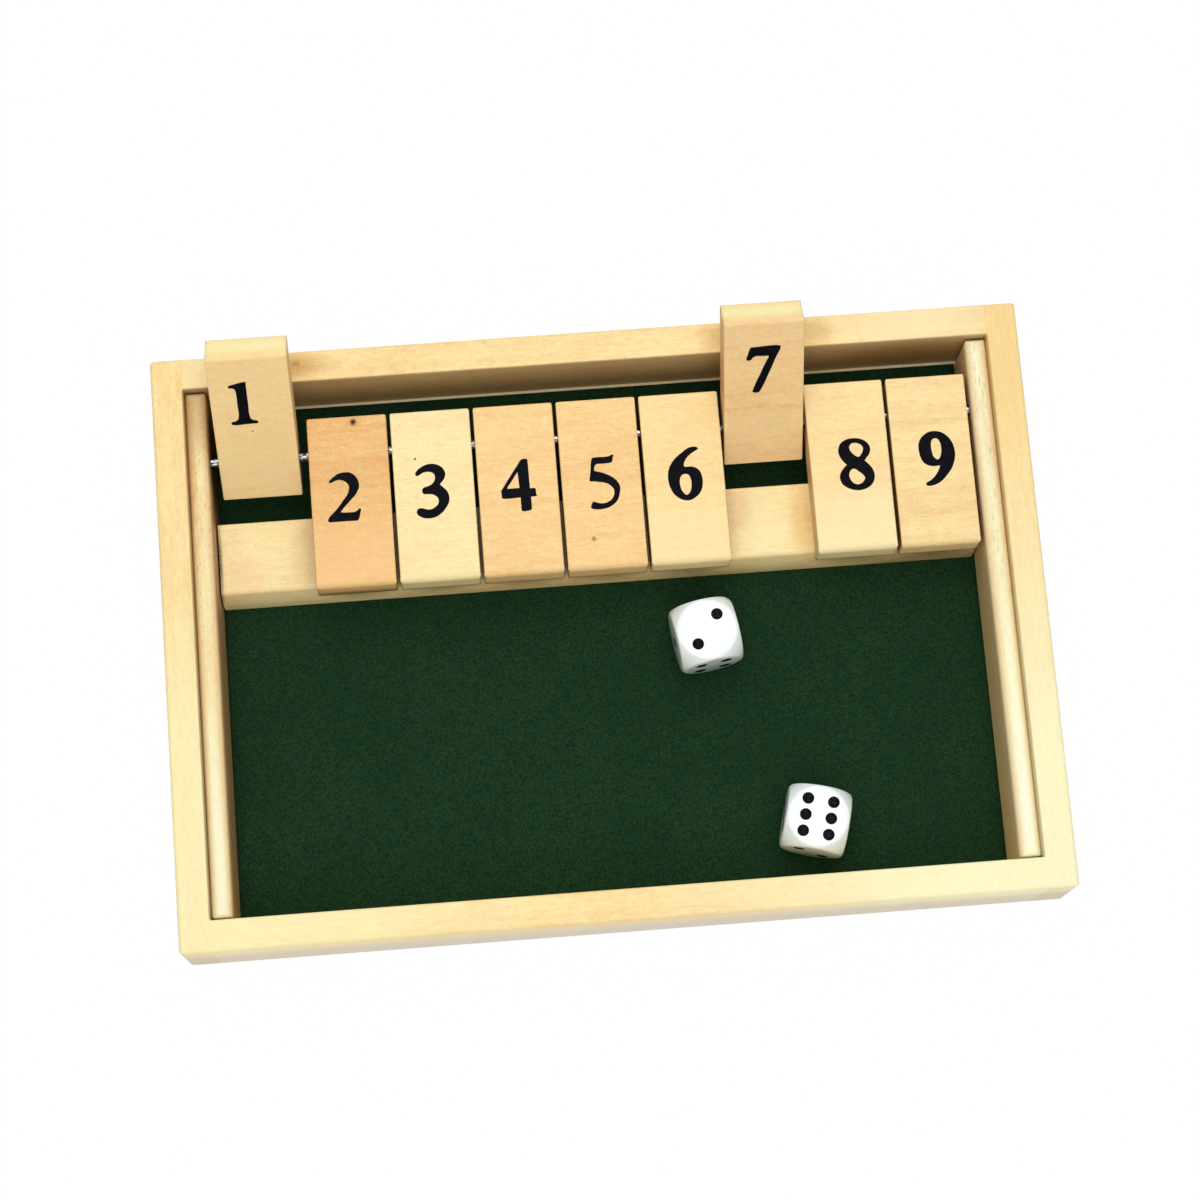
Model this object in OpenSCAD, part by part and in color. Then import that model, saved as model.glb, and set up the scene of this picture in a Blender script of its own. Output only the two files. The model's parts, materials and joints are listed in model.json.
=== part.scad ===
// Shut the box game: a shallow wooden tray with a felt floor, nine tiles that swing
// on one steel rod, the bar they rest on, and a pair of dice.
// The origin is on the ground under the middle of the tray. +X is to the player's
// right, +Y is away from the player and +Z is up.

/* [Tray] */
// Thickness of the four rails
rail_thickness = 8; // [6:0.5:12]
// Radius of the four upright corners of the tray
corner_radius = 1.2; // [0.6:0.2:4]
// Radius on the outer top edges of the rails
outer_edge_radius = 0.9; // [0.4:0.1:1.4]
// Radius on the top edges of the rails around the well
inner_edge_radius = 0.6; // [0.3:0.1:1.2]
// Radius on the bottom edges of the rails
bottom_edge_radius = 0.5; // [0.3:0.1:1]
// Width of the rebate under each rail that takes the base board
rebate_width = 4; // [2:0.5:5]
// Depth of open felt in front of the rest bar, where the dice are thrown
play_depth = 81.2; // [70:0.2:110]

/* [Floor] */
// Thickness of the base board
board_thickness = 2.5; // [2:0.1:4]
// Gap between the edge of the base board and its rebate
board_play = 0.15; // [0.05:0.05:0.4]
// Thickness of the felt
felt_thickness = 0.7; // [0.5:0.1:1.5]
// Strip of bare board between the felt and the back rail
felt_margin = 0.8; // [0.4:0.1:2]

/* [Side strips] */
// Thickness of the strips that carry the ends of the rod
strip_thickness = 5.5; // [4:0.1:8]
// How far the tops of the strips lie below the tops of the rails
strip_drop = 2; // [1:0.1:3]
// Radius on the two top edges of a strip
strip_edge_radius = 2; // [0.5:0.1:2.5]
// Radius on the corners and the top edge at each end of a strip
strip_end_radius = 1; // [0.4:0.1:1.5]
// Gap at each end of a strip
strip_end_gap = 0.6; // [0.1:0.1:1]

/* [Rest bar] */
// Depth of the rest bar, front to back
rest_bar_depth = 20; // [14:0.5:24]
// Height of the rest bar above the felt
rest_bar_height = 10.4; // [9:0.1:16]
// Radius on the front top edge of the rest bar
rest_bar_nose_radius = 1.6; // [0.6:0.1:3]
// Radius of the gentle curve in which the front of the rest bar leans back
rest_bar_face_radius = 20; // [18:0.5:40]
// Height of the upright foot under that curve
rest_bar_foot = 1.5; // [0.8:0.1:3]
// Radius on the other long edges of the rest bar
rest_bar_edge_radius = 0.4; // [0.2:0.1:0.6]
// Gap between the left end of the rest bar and its strip
rest_bar_left_gap = 0.4; // [0.2:0.1:1]
// Gap between the right end of the rest bar and its strip
rest_bar_right_gap = 0.9; // [0.2:0.1:1.5]

/* [Rod] */
// Diameter of the steel rod
rod_diameter = 3; // [2:0.1:4]
// Distance from the axis of the rod to the back rail
rod_setback = 17.9; // [15:0.1:24]
// Gap between each end of the rod and its rail
rod_end_gap = 0.3; // [0.1:0.1:1]
// Chamfer on the two ends of the rod
rod_chamfer = 0.3; // [0.1:0.1:0.6]
// Gap all round the rod where it passes through wood
bore_clearance = 0.05; // [0.02:0.01:0.1]

/* [Tiles] */
// Width of a tile
tile_width = 20.1; // [16:0.1:24]
// Length of a tile
tile_length = 44; // [41:0.2:52]
// Thickness of a tile
tile_thickness = 9.1; // [6:0.1:10]
// Distance from the axis of the rod to the back end of a tile
tile_tail = 8.6; // [6:0.1:11]
// Radius on the top edge of a tile's free end
tile_nose_radius = 1.8; // [0.6:0.1:3]
// Radius on the bottom edge of a tile's free end
tile_toe_radius = 1.1; // [0.4:0.1:2]
// Radius on the four upright corners of a lying tile
tile_corner_radius = 0.8; // [0.4:0.1:1.5]
// Radius on all other edges of a tile
tile_edge_radius = 0.4; // [0.2:0.1:0.6]
// How far the tops of the lying tiles lie below the tops of the rails
tile_sink = 2.3; // [1:0.1:5]
// How far the free ends of the lying tiles reach past the rest bar
tile_overhang = 0.5; // [0:0.1:1]
// Gap between the left strip and the first tile
left_gap = 2.3; // [0.5:0.1:4]
// Gap between the first tile, which has slid to the left, and the second
first_gap = 2.4; // [0.5:0.1:4]
// Gap between the other tiles
tile_gap = 0.9; // [0.5:0.1:2]
// Gap between the last tile and the right strip
right_gap = 1.1; // [0.5:0.1:3]
// Angle that a raised tile has turned up from its lying place
raised_angle = 127.5; // [95:0.5:140]

/* [Dice] */
// Size of a die across its flats
die_size = 16; // [12:0.5:18]
// Radius of the rim that rounds off each face of a die
die_rim_radius = 1.5; // [0.8:0.1:1.8]
// Radius of the ball that the corners of a die lie on, as a share of its size
die_ball_share = 0.68; // [0.66:0.01:0.7]
// Radius of the mouth of a pip
pip_radius = 1.4; // [0.8:0.05:1.45]
// Depth of a pip
pip_depth = 0.6; // [0.3:0.05:0.8]
// Distance from the middle of a face to its columns of pips
pip_column = 3.2; // [2.6:0.1:3.6]
// Distance from the middle of a six to its outer rows of pips
pip_row = 4.1; // [3.6:0.1:4.2]
// Distance from the middle of the tray to the first die, to the right
die_1_right = 25; // [0:0.1:30]
// Distance from the rest bar to the middle of the first die
die_1_ahead = 17.1; // [14:0.1:30]
// Turn of the first die
die_1_turn = 9.1; // [-45:0.1:45]
// Distance from the middle of the tray to the second die, to the right
die_2_right = 48.3; // [44:0.1:80]
// Distance from the front rail to the middle of the second die
die_2_behind = 14.9; // [13:0.1:30]
// Turn of the second die
die_2_turn = -14.3; // [-45:0.1:45]

/* [Hidden] */

// The two tiles that stand raised
raised_tiles = [1, 7];
tile_count = 9;
// Cutters reach this far past the faces they open
cut_past = 1;
round_facets = 48;
// A rounded edge stands this far out of the larger curve that trims it
edge_proud = 0.02;

// Across the tray
tile_pitch = tile_width + tile_gap;
well_width = left_gap + first_gap + tile_width * tile_count + tile_gap * (tile_count - 2) + right_gap;
inner_width = well_width + 2 * strip_thickness;
tray_width = inner_width + 2 * rail_thickness;

// Front to back, from the front rail to the back rail
inner_depth = play_depth - tile_overhang + tile_length - tile_tail + rod_setback;
tray_depth = inner_depth + 2 * rail_thickness;
front_face = -inner_depth / 2;
back_face = inner_depth / 2;
rest_bar_front = front_face + play_depth;
rod_y = back_face - rod_setback;

// Up from the ground
floor_height = board_thickness + felt_thickness;
rest_height = floor_height + rest_bar_height;
rod_height = rest_height + tile_thickness / 2;
tray_height = rest_height + tile_thickness + tile_sink;
strip_top = tray_height - strip_drop;

// Middle of a tile along the rod
function tile_middle(number) =
    -well_width / 2 + left_gap + tile_width / 2
    + (number - 1) * tile_pitch
    + (number > 1 ? first_gap - tile_gap : 0);

function is_raised(number) = len(search(number, raised_tiles)) > 0;

// Everything outside a quarter circle in the corner of the first quadrant
module corner_waste(radius) {
    difference() {
        translate([-cut_past, -cut_past])
            square(radius + cut_past);
        translate([radius, radius])
            circle(radius, $fn = round_facets);
    }
}

// A rectangle from the origin whose corners are rounded, in the order
// bottom left, bottom right, top right, top left
module rounded_rectangle(width, height, radii) {
    difference() {
        square([width, height]);
        corner_waste(radii[0]);
        translate([width, 0])
            rotate(90)
                corner_waste(radii[1]);
        translate([width, height])
            rotate(180)
                corner_waste(radii[2]);
        translate([0, height])
            rotate(270)
                corner_waste(radii[3]);
    }
}

// Runs a profile to the right: its x becomes Y and its y becomes Z
module along_x(length) {
    rotate([90, 0, 90])
        linear_extrude(length)
            children();
}

// Runs a profile backwards: its x stays X and its y becomes Z
module along_y(length) {
    translate([0, length, 0])
        rotate([90, 0, 0])
            linear_extrude(length)
                children();
}

// The outside of the tray: upright corners rounded, top and bottom edges eased
module tray_block() {
    eased = [bottom_edge_radius, bottom_edge_radius, outer_edge_radius, outer_edge_radius];
    translate([-tray_width / 2, -tray_depth / 2, 0])
        intersection() {
            linear_extrude(tray_height)
                rounded_rectangle(tray_width, tray_depth, corner_radius * [1, 1, 1, 1]);
            along_x(tray_width)
                rounded_rectangle(tray_depth, tray_height, eased);
            along_y(tray_depth)
                rounded_rectangle(tray_width, tray_height, eased);
        }
}

// Eases the top edge of the rails along one side of the well
module rim_waste(length) {
    translate([-length / 2, 0, 0])
        along_x(length)
            mirror([0, 1])
                corner_waste(inner_edge_radius);
}

// The well inside the rails, with its rim eased
module well_cut() {
    translate([-inner_width / 2, -inner_depth / 2, -cut_past])
        cube([inner_width, inner_depth, tray_height + 2 * cut_past]);
    for (side = [0, 180])
        rotate(side)
            translate([0, inner_depth / 2, tray_height])
                rim_waste(inner_width);
    for (side = [90, 270])
        rotate(side)
            translate([0, inner_width / 2, tray_height])
                rim_waste(inner_depth);
}

// The rebate that runs round under the rails
module rebate_cut() {
    width = inner_width + 2 * rebate_width;
    depth = inner_depth + 2 * rebate_width;
    translate([-width / 2, -depth / 2, -cut_past])
        cube([width, depth, board_thickness + cut_past]);
}

module rail_ring() {
    difference() {
        tray_block();
        well_cut();
        rebate_cut();
    }
}

// The side rails run the full depth of the tray
module side_rail(side) {
    color("burlywood")
        intersection() {
            rail_ring();
            translate([side < 0 ? -tray_width : inner_width / 2, -tray_depth, -cut_past])
                cube([tray_width - inner_width / 2, 2 * tray_depth, tray_height + 2 * cut_past]);
        }
}

// The front and back rails are butted and glued between the side rails
module end_rail(side) {
    color("wheat")
        intersection() {
            rail_ring();
            translate([-inner_width / 2, side < 0 ? -tray_depth : inner_depth / 2, -cut_past])
                cube([inner_width, tray_depth - inner_depth / 2, tray_height + 2 * cut_past]);
        }
}

module left_rail() {
    side_rail(-1);
}

module right_rail() {
    side_rail(1);
}

module front_rail() {
    end_rail(-1);
}

module back_rail() {
    end_rail(1);
}

// Thin board glued up into the rebate, flush with the undersides of the rails
module base_board() {
    width = inner_width + 2 * (rebate_width - board_play);
    depth = inner_depth + 2 * (rebate_width - board_play);
    color("tan")
        translate([-width / 2, -depth / 2, 0])
            cube([width, depth, board_thickness]);
}

// Felt glued to the board between the strips, short of the back rail
module felt_lining() {
    color("darkgreen")
        translate([-well_width / 2, front_face, board_thickness])
            cube([well_width, inner_depth - felt_margin, felt_thickness]);
}

// A strip without its bore: top edges well rounded, ends eased
module strip_block(length, height) {
    intersection() {
        along_y(length)
            rounded_rectangle(strip_thickness, height, strip_edge_radius * [0, 0, 1, 1]);
        along_x(strip_thickness)
            rounded_rectangle(length, height, strip_end_radius * [0, 0, 1, 1]);
        linear_extrude(height)
            rounded_rectangle(strip_thickness, length, strip_end_radius * [1, 1, 1, 1]);
    }
}

// Strip glued inside a side rail, standing on the board, bored for the rod
module side_strip(side) {
    start = side < 0 ? -inner_width / 2 : well_width / 2;
    color("navajowhite")
        difference() {
            translate([start, strip_end_gap - inner_depth / 2, board_thickness])
                strip_block(inner_depth - 2 * strip_end_gap, strip_top - board_thickness);
            translate([start - cut_past, rod_y, rod_height])
                rod_bore(strip_thickness + 2 * cut_past);
        }
}

module left_strip() {
    side_strip(-1);
}

module right_strip() {
    side_strip(1);
}

// What is planed off the front of the rest bar: an upright foot stays, the face
// above it leans back in a gentle curve, and the nose turns over to the top
module rest_bar_front_waste() {
    nose = rest_bar_nose_radius;
    nose_up = rest_bar_height - nose;
    nose_reach = rest_bar_face_radius - nose + edge_proud;
    lean = asin((nose_up - rest_bar_foot) / nose_reach);
    nose_in = rest_bar_face_radius - nose_reach * cos(lean);
    over = rest_bar_height + cut_past;
    difference() {
        translate([-cut_past, rest_bar_foot])
            square([nose_in + cut_past, over - rest_bar_foot]);
        translate([rest_bar_face_radius, rest_bar_foot])
            circle(rest_bar_face_radius, $fn = 2 * round_facets);
    }
    difference() {
        polygon([
            [nose_in, nose_up], [-cut_past, nose_up + (nose_in + cut_past) * tan(lean)],
            [-cut_past, over], [nose_in, over]
        ]);
        translate([nose_in, nose_up])
            circle(nose, $fn = round_facets);
    }
}

// Bar glued on the felt that the free ends of the tiles rest on
module rest_bar() {
    length = well_width - rest_bar_left_gap - rest_bar_right_gap;
    edge = rest_bar_edge_radius;
    color("navajowhite")
        translate([-well_width / 2 + rest_bar_left_gap, rest_bar_front, floor_height])
            along_x(length)
                difference() {
                    rounded_rectangle(rest_bar_depth, rest_bar_height, edge * [1, 1, 1, 1]);
                    rest_bar_front_waste();
                }
}

module rod_bore(length) {
    rotate([0, 90, 0])
        cylinder(length, r = rod_diameter / 2 + bore_clearance, $fn = round_facets);
}

// Rod through both strips and all nine tiles
module axle_rod() {
    length = inner_width - 2 * rod_end_gap;
    radius = rod_diameter / 2;
    outline = [
        [0, 0], [radius - rod_chamfer, 0], [radius, rod_chamfer],
        [radius, length - rod_chamfer], [radius - rod_chamfer, length], [0, length]
    ];
    color("silver")
        translate([-length / 2, rod_y, rod_height])
            rotate([0, 90, 0])
                rotate_extrude($fn = round_facets)
                    polygon(outline);
}

// A lying tile with the axis of its bore on the X axis and its free end towards -Y
module tile_block() {
    edge = tile_edge_radius;
    rounding = [tile_toe_radius, edge, edge, tile_nose_radius];
    translate([-tile_width / 2, tile_tail - tile_length, -tile_thickness / 2])
        intersection() {
            along_x(tile_width)
                rounded_rectangle(tile_length, tile_thickness, rounding);
            along_y(tile_length)
                rounded_rectangle(tile_width, tile_thickness, edge * [1, 1, 1, 1]);
            linear_extrude(tile_thickness)
                rounded_rectangle(tile_width, tile_length, tile_corner_radius * [1, 1, 1, 1]);
        }
}

module tile(number) {
    shades = ["tan", "burlywood", "wheat"];
    angle = is_raised(number) ? raised_angle : 0;
    color(shades[number % 3])
        translate([tile_middle(number), rod_y, rod_height])
            rotate([-angle, 0, 0])
                difference() {
                    tile_block();
                    translate([-tile_width / 2 - cut_past, 0, 0])
                        rod_bore(tile_width + 2 * cut_past);
                }
}

// Middles of the pips of a face, counted in columns and rows
function pip_places(number) = concat(
    number % 2 == 1 ? [[0, 0]] : [],
    number > 1 ? [[-1, -1], [1, 1]] : [],
    number > 3 ? [[-1, 1], [1, -1]] : [],
    number == 6 ? [[-1, 0], [1, 0]] : []
);

// The balls that sink the pips of one face into the top of a die
module pips(number) {
    ball = (pip_radius * pip_radius + pip_depth * pip_depth) / (2 * pip_depth);
    row = number == 6 ? pip_row : pip_column;
    for (place = pip_places(number))
        translate([place[0] * pip_column, place[1] * row, die_size / 2 - pip_depth + ball])
            sphere(ball, $fn = round_facets);
}

// A turned blank with two opposite faces of a die, each rounded off by its rim;
// between the rims it leaves the die's ball free
module die_blank() {
    half = die_size / 2;
    reach = die_size * die_ball_share + edge_proud;
    rim_up = half - die_rim_radius;
    rim_out = sqrt(pow(reach - die_rim_radius, 2) - pow(rim_up, 2));
    slope = atan2(rim_up, rim_out);
    corner = [(reach - half * sin(slope)) / cos(slope), half];
    middle = [reach / cos(slope), 0];
    rim_end = reach * [cos(slope), sin(slope)];
    rotate_extrude($fn = 2 * round_facets)
        difference() {
            polygon([[0, -half], [corner[0], -half], middle, corner, [0, half]]);
            for (side = [0, 1])
                mirror([0, side])
                    difference() {
                        polygon([[rim_out, half], corner, rim_end, [rim_out, rim_up]]);
                        translate([rim_out, rim_up])
                            circle(die_rim_radius, $fn = round_facets);
                    }
        }
}

// The numbers of the faces and their quarter turns are given in the order
// top, bottom, front, back, left, right
module die(numbers, quarter_turns) {
    sides = [[0, 0, 0], [180, 0, 0], [90, 0, 0], [90, 0, 180], [90, 0, -90], [90, 0, 90]];
    color("white")
        difference() {
            intersection() {
                sphere(die_size * die_ball_share, $fn = 2 * round_facets);
                die_blank();
                rotate([90, 0, 0])
                    die_blank();
                rotate([0, 90, 0])
                    die_blank();
            }
            for (side = [0 : 5])
                rotate(sides[side])
                    rotate(quarter_turns[side] * 90)
                        pips(numbers[side]);
        }
}

module die_1() {
    translate([die_1_right, rest_bar_front - die_1_ahead, floor_height + die_size / 2])
        rotate(die_1_turn)
            die([2, 5, 4, 3, 1, 6], [0, 0, 0, 0, 0, 0]);
}

module die_2() {
    translate([die_2_right, front_face + die_2_behind, floor_height + die_size / 2])
        rotate(die_2_turn)
            die([6, 1, 2, 5, 3, 4], [0, 0, 1, 0, 0, 0]);
}

left_rail();
right_rail();
front_rail();
back_rail();
base_board();
felt_lining();
left_strip();
right_strip();
rest_bar();
axle_rod();
tile(1);  // tile_1
tile(2);  // tile_2
tile(3);  // tile_3
tile(4);  // tile_4
tile(5);  // tile_5
tile(6);  // tile_6
tile(7);  // tile_7
tile(8);  // tile_8
tile(9);  // tile_9
die_1();
die_2();
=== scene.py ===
import json
import math

import bpy
from mathutils import Matrix, Vector, noise


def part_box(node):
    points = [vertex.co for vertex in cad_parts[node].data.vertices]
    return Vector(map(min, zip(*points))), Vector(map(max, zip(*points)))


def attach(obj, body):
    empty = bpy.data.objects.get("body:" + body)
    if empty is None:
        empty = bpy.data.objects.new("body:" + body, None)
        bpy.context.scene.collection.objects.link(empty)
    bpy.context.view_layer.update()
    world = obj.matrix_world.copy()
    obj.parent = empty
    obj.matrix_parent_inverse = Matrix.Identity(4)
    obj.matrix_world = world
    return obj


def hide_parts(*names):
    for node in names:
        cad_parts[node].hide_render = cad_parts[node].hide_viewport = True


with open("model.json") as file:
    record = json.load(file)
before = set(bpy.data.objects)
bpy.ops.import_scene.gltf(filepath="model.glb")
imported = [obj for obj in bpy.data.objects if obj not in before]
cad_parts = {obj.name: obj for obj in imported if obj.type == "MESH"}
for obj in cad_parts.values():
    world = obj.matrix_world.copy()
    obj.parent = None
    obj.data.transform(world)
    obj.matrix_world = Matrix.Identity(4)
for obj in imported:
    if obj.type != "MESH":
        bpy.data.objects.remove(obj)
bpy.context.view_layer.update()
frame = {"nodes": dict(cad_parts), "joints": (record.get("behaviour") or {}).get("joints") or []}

MM = 0.001


# The table and the light.
# The game lies on a sheet of white card in a light tent, seen steeply from above the
# player's seat. A long softbox hangs over it, front to back, and the tent's back wall
# is the brightest. The card itself is no part of the game.

class Signal:
    """One output in a material; sums and products of signals add its Math nodes."""

    def __init__(self, tree, out=None):
        self.tree, self.out = tree, out

    def node(self, kind, settings=None, sockets=None, output=0):
        """Adds a node: its settings first, then a value or a link for each socket."""
        made = self.tree.nodes.new(kind)
        for name, value in (settings or {}).items():
            setattr(made, name, value)
        for name, value in (sockets or {}).items():
            if isinstance(value, Signal):
                self.tree.links.new(value.out, made.inputs[name])
            else:
                made.inputs[name].default_value = value
        return Signal(self.tree, made.outputs[output] if made.outputs else None)

    def maths(self, operation, *values):
        return self.node("ShaderNodeMath", {"operation": operation}, dict(enumerate(values)))

    def __add__(self, other):
        return self.maths("ADD", self, other)

    def __radd__(self, other):
        return self.maths("ADD", other, self)

    def __sub__(self, other):
        return self.maths("SUBTRACT", self, other)

    def __rsub__(self, other):
        return self.maths("SUBTRACT", other, self)

    def __mul__(self, other):
        return self.maths("MULTIPLY", self, other)

    def __rmul__(self, other):
        return self.maths("MULTIPLY", other, self)

    def __truediv__(self, other):
        return self.maths("DIVIDE", self, other)

    def eased(self, low, high):
        """0 below low, 1 above high, with a soft turn at both ends."""
        return self.node("ShaderNodeMapRange", {"interpolation_type": "SMOOTHSTEP"},
                         {"Value": self, "From Min": low, "From Max": high})

    def size(self):
        """The value without its sign."""
        return self.maths("ABSOLUTE", self)

    def part(self, axis):
        """The X, Y or Z of a vector, by its number."""
        return self.node("ShaderNodeSeparateXYZ", None, {0: self}, output=axis)

    def vector(self, operation, *values, output=0):
        return self.node("ShaderNodeVectorMath", {"operation": operation},
                         dict(enumerate(values)), output)

    def mixed(self, factor, first, second, how="MIX"):
        """Colours first and second mixed by factor."""
        return self.node("ShaderNodeMix", {"data_type": "RGBA", "blend_type": how},
                         {0: factor, 6: first, 7: second}, 2)


def new_material(name):
    """An empty material and the signal that its nodes start from."""
    made = bpy.data.materials.new(name)
    made.use_nodes = True
    made.node_tree.nodes.clear()
    return made, Signal(made.node_tree)


def srgb(red, green, blue):
    """A colour as the eye reads it, 0 to 255, in the renderer's linear light."""
    return tuple(
        (v / 12.92 if v <= 0.04045 else ((v + 0.055) / 1.055) ** 2.4)
        for v in (red / 255, green / 255, blue / 255)
    ) + (1.0,)


NORMAL, OBJECT = 1, 3      # outputs of a Texture Coordinate node


def in_mm(start, shift=(0, 0, 0), turn=(0, 0, 0)):
    """The place in the game's frame in mm, turned by degrees and then shifted."""
    return start.node("ShaderNodeMapping", None, {
        "Vector": start.node("ShaderNodeTexCoord", output=OBJECT), "Location": shift,
        "Rotation": [math.radians(a) for a in turn], "Scale": (1 / MM,) * 3})


def clouds(start, place, scale, detail, rough=0.5, distortion=0.0):
    """Noise from 0 to 1 whose largest forms are about 1 / scale wide."""
    return start.node("ShaderNodeTexNoise", None, {
        "Vector": place, "Scale": scale, "Detail": detail, "Roughness": rough,
        "Distortion": distortion})


def bump(start, strength, distance, height):
    """Relief of height times distance, in mm."""
    return start.node("ShaderNodeBump", None, {
        "Strength": strength, "Distance": distance * MM, "Height": height})


def surface(start, sockets):
    """Ends a material in one Principled surface."""
    start.node("ShaderNodeOutputMaterial", None, {
        "Surface": start.node("ShaderNodeBsdfPrincipled", None, sockets)})


scene = bpy.context.scene
scene.view_settings.view_transform = "Standard"

PHOTO_PIXELS = 1200
FOCAL_PIXELS = 3035.3
CAMERA_PLACE = (-0.03143, -0.15535, 0.76199)
CAMERA_TURN = (12.4237, -1.3339, -4.5225)      # in degrees
lens = bpy.data.cameras.new("photo_camera")
lens.sensor_fit = "HORIZONTAL"
lens.sensor_width = 36.0
lens.lens = FOCAL_PIXELS / PHOTO_PIXELS * lens.sensor_width
lens.clip_start, lens.clip_end = 0.01, 50.0
camera = bpy.data.objects.new("photo_camera", lens)
camera.location = CAMERA_PLACE
camera.rotation_euler = [math.radians(a) for a in CAMERA_TURN]
scene.collection.objects.link(camera)
scene.camera = camera

tent = bpy.data.worlds.new("light_tent")
tent.use_nodes = True
tent.node_tree.nodes.clear()
air = Signal(tent.node_tree)
CAMERA_RAY, GLOSSY_RAY, TRANSMISSION_RAY = 0, 3, 6


def seen_directly(start):
    """1 for what the camera sees itself, in a mirror or through glass, 0 for its light."""
    camera_ray, glossy, through = (start.node("ShaderNodeLightPath", output=i)
                                   for i in (CAMERA_RAY, GLOSSY_RAY, TRANSMISSION_RAY))
    return start.maths("MAXIMUM", start.maths("MAXIMUM", camera_ray, glossy), through)


def glow(strength):
    return air.node("ShaderNodeBackground", None, {"Color": (1, 1, 1, 1), "Strength": strength})


SIDE_LIGHT, FRONT_LIGHT, BACK_LIGHT, TOP_LIGHT = 0.05, 0.72, 1.00, 0.40
way = air.node("ShaderNodeTexCoord")
along, up = way.part(1), way.part(2)
walls = air.node("ShaderNodeMixShader", None, {
    0: (along * -1).eased(0.25, 0.85), 1: glow(SIDE_LIGHT), 2: glow(FRONT_LIGHT)})
walls = air.node("ShaderNodeMixShader", None, {
    0: along.eased(0.25, 0.85), 1: walls, 2: glow(BACK_LIGHT)})
tent_light = air.node("ShaderNodeMixShader", None, {
    0: up.eased(0.3, 0.95), 1: walls, 2: glow(TOP_LIGHT)})
air.node("ShaderNodeOutputWorld", None, {
    "Surface": air.node("ShaderNodeMixShader", None, {
        0: seen_directly(air), 1: tent_light, 2: glow(1.0)})})
scene.world = tent

SOFTBOX_WIDTH, SOFTBOX_LENGTH, SOFTBOX_POWER = 0.6, 1.6, 5.8
SOFTBOX_PLACE = (0, -0.05, 0.8)
lamp = bpy.data.lights.new("long_softbox", "AREA")
lamp.shape, lamp.size, lamp.size_y = "RECTANGLE", SOFTBOX_WIDTH, SOFTBOX_LENGTH
lamp.energy = SOFTBOX_POWER
softbox = bpy.data.objects.new("long_softbox", lamp)
softbox.location = SOFTBOX_PLACE
scene.collection.objects.link(softbox)

CARD = 3.0                 # half the width of the card
CARD_SEEN_WHITE = 0.995    # how far the card looks pure white to the camera
card_mesh = bpy.data.meshes.new("white_card")
card_mesh.from_pydata([(-CARD, -CARD, 0), (CARD, -CARD, 0), (CARD, CARD, 0), (-CARD, CARD, 0)],
                      [], [(0, 1, 2, 3)])
card = bpy.data.objects.new("white_card", card_mesh)
scene.collection.objects.link(card)
card_finish, start = new_material("white_card")
lit = start.node("ShaderNodeBsdfDiffuse", None, {
    "Color": srgb(243, 243, 243), "Roughness": 0.0})
plain = start.node("ShaderNodeEmission", None, {"Color": (1, 1, 1, 1), "Strength": 1.0})
start.node("ShaderNodeOutputMaterial", None, {
    "Surface": start.node("ShaderNodeMixShader", None, {
        0: seen_directly(start) * CARD_SEEN_WHITE, 1: lit, 2: plain})})
card_mesh.materials.append(card_finish)


# Rails.
# Four rails of a pale, close-grained hardwood, sanded, rounded over at the edges and
# sealed with a thin satin lacquer. The side rails run the full depth of the tray, and
# the front and back rails are butted and glued between them.

INNER_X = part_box("front_rail")[1].x / MM
WELL_END = -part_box("front_rail")[1].y / MM

# Colours that every piece of wood shares
PEACH, STRAW = srgb(255, 206, 144), srgb(246, 238, 158)
ROSY_GLINT, GOLDEN_GLINT = (1.0, 0.92, 0.94, 1), (0.99, 1.0, 0.80, 1)
FLECK_BROWN, KNOT_BROWN = srgb(150, 98, 52), srgb(58, 26, 0)
END_BROWN, JOINT_DIRT_AND_SHADE_BROWN = srgb(112, 68, 30), srgb(104, 58, 20)


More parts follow.
